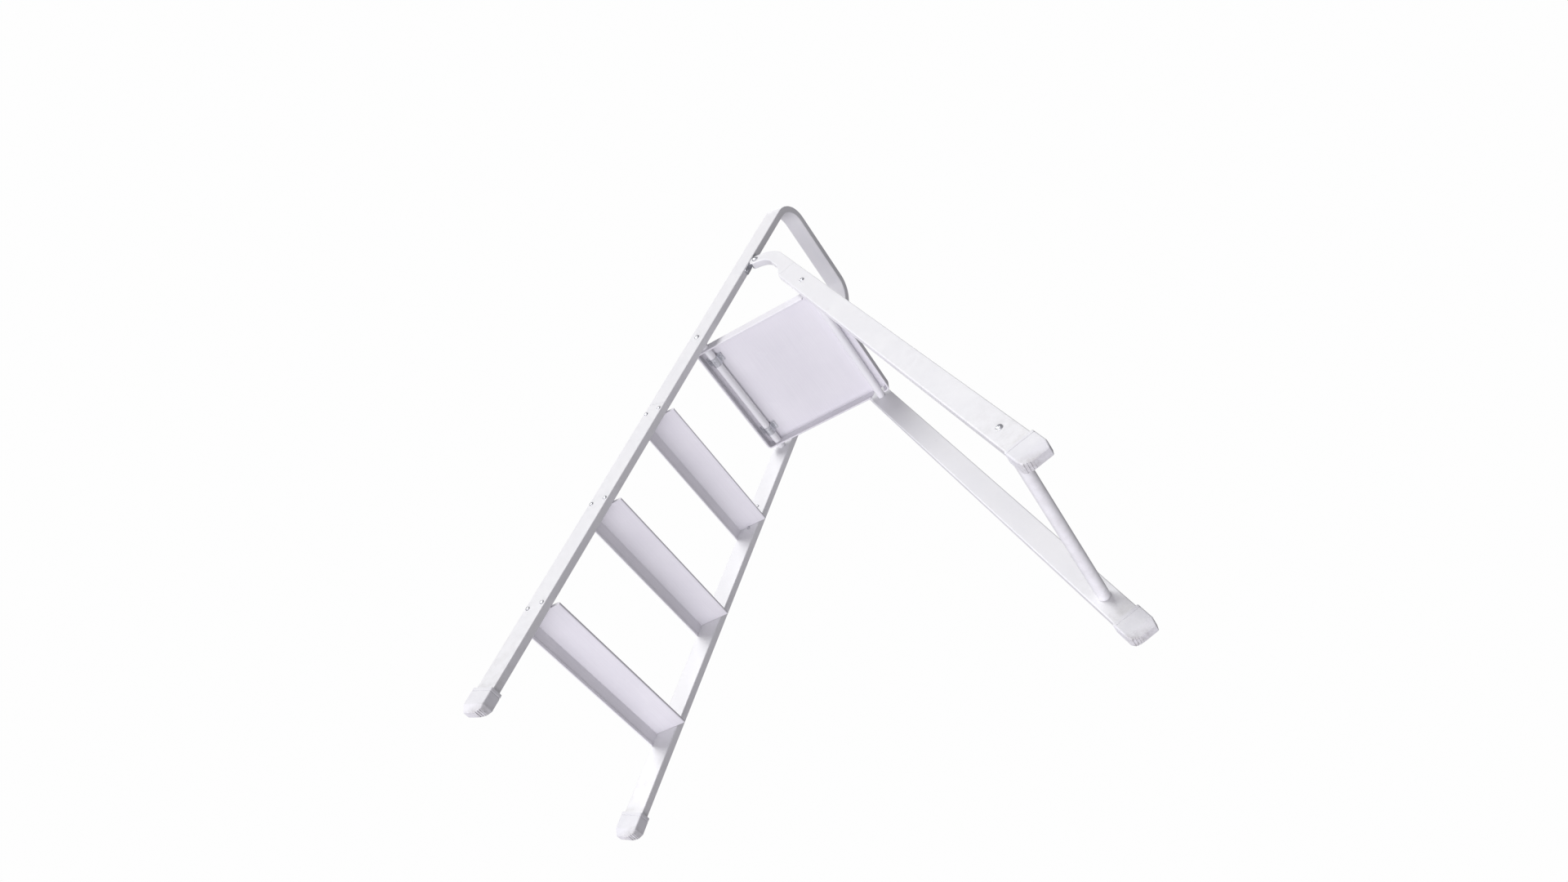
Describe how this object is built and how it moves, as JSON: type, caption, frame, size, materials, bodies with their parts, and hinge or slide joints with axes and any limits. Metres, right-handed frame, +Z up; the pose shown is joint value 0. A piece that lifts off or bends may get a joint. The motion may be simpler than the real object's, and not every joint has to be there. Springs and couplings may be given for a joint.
{
  "type": "platform step ladder",
  "caption": "Folding step ladder with flat-sided tube frame, wide treads, a standing platform, a handrail hoop above it and a hinged rear frame.",
  "frame": {"origin": "on the floor, halfway between the front and rear feet and on the middle plane", "axes": "+Z up, +X to the right of a climber who faces the treads, +Y from the treads towards the rear legs"},
  "size_m": [0.474, 1.1214, 1.5142],
  "materials": {
    "white_frame": "satin powder coat",
    "tread_metal": "satin powder coat, near white and a little cooler than the frame",
    "grip_rubber": "ribbed matt rubber",
    "foot_plastic": "fine-grained moulded plastic",
    "zinc": "bright zinc plate"
  },
  "bodies": {
    "front_frame": {"stile_left": "white_frame", "hoop_spigot_left": "zinc", "front_foot_left": "foot_plastic", "stile_right": "white_frame", "hoop_spigot_right": "zinc", "front_foot_right": "foot_plastic", "hinge_lug_left": "zinc", "lug_rivet_lower_left": "zinc", "lug_rivet_upper_left": "zinc", "hinge_lug_right": "zinc", "lug_rivet_lower_right": "zinc", "lug_rivet_upper_right": "zinc", "handrail_hoop": "white_frame", "seam_screw_lower_left": "zinc", "seam_screw_upper_left": "zinc", "tread_1_screw_front_left": "zinc", "tread_1_screw_rear_left": "zinc", "tread_2_screw_front_left": "zinc", "tread_2_screw_rear_left": "zinc", "tread_3_screw_front_left": "zinc", "tread_3_screw_rear_left": "zinc", "pivot_bolt_left": "zinc", "pivot_nut_left": "zinc", "seam_screw_lower_right": "zinc", "seam_screw_upper_right": "zinc", "tread_1_screw_front_right": "zinc", "tread_1_screw_rear_right": "zinc", "tread_2_screw_front_right": "zinc", "tread_2_screw_rear_right": "zinc", "tread_3_screw_front_right": "zinc", "tread_3_screw_rear_right": "zinc", "pivot_bolt_right": "zinc", "pivot_nut_right": "zinc", "tread_1": "tread_metal", "tread_mat_1": "grip_rubber", "tread_2": "tread_metal", "tread_mat_2": "grip_rubber", "tread_3": "tread_metal", "tread_mat_3": "grip_rubber", "platform_pivot_tube": "white_frame", "pivot_tube_screw_left": "zinc", "pivot_tube_screw_right": "zinc"},
    "rear_frame": {"rear_leg_left": "white_frame", "hinge_arm_left": "white_frame", "rear_foot_left": "foot_plastic", "rear_leg_right": "white_frame", "hinge_arm_right": "white_frame", "rear_foot_right": "foot_plastic", "arm_screw_left": "zinc", "arm_screw_right": "zinc", "rear_platform_tube": "white_frame", "rear_tube_screw_left": "zinc", "rear_tube_screw_right": "zinc", "rear_crossbar": "white_frame", "crossbar_screw_left": "zinc", "crossbar_screw_right": "zinc"},
    "platform": {"platform_pan": "tread_metal", "platform_mat": "grip_rubber", "pivot_clip_left": "zinc", "pivot_clip_right": "zinc"}
  },
  "joints": [
    {"name": "rear_frame_fold", "type": "hinge", "parent": "front_frame", "child": "rear_frame", "pos_m": [0, 0.0086, 1.20998], "axis": [-1, 0, 0], "range_deg": [0, 45]},
    {"name": "platform_tilt", "type": "hinge", "parent": "front_frame", "child": "platform", "pos_m": [0, -0.14438, 0.959], "axis": [1, 0, 0], "range_deg": [0, 67.5]}
  ],
  "couplings": [
    {"joint": "platform_tilt", "follows": "rear_frame_fold", "ratio": 1.5}
  ]
}
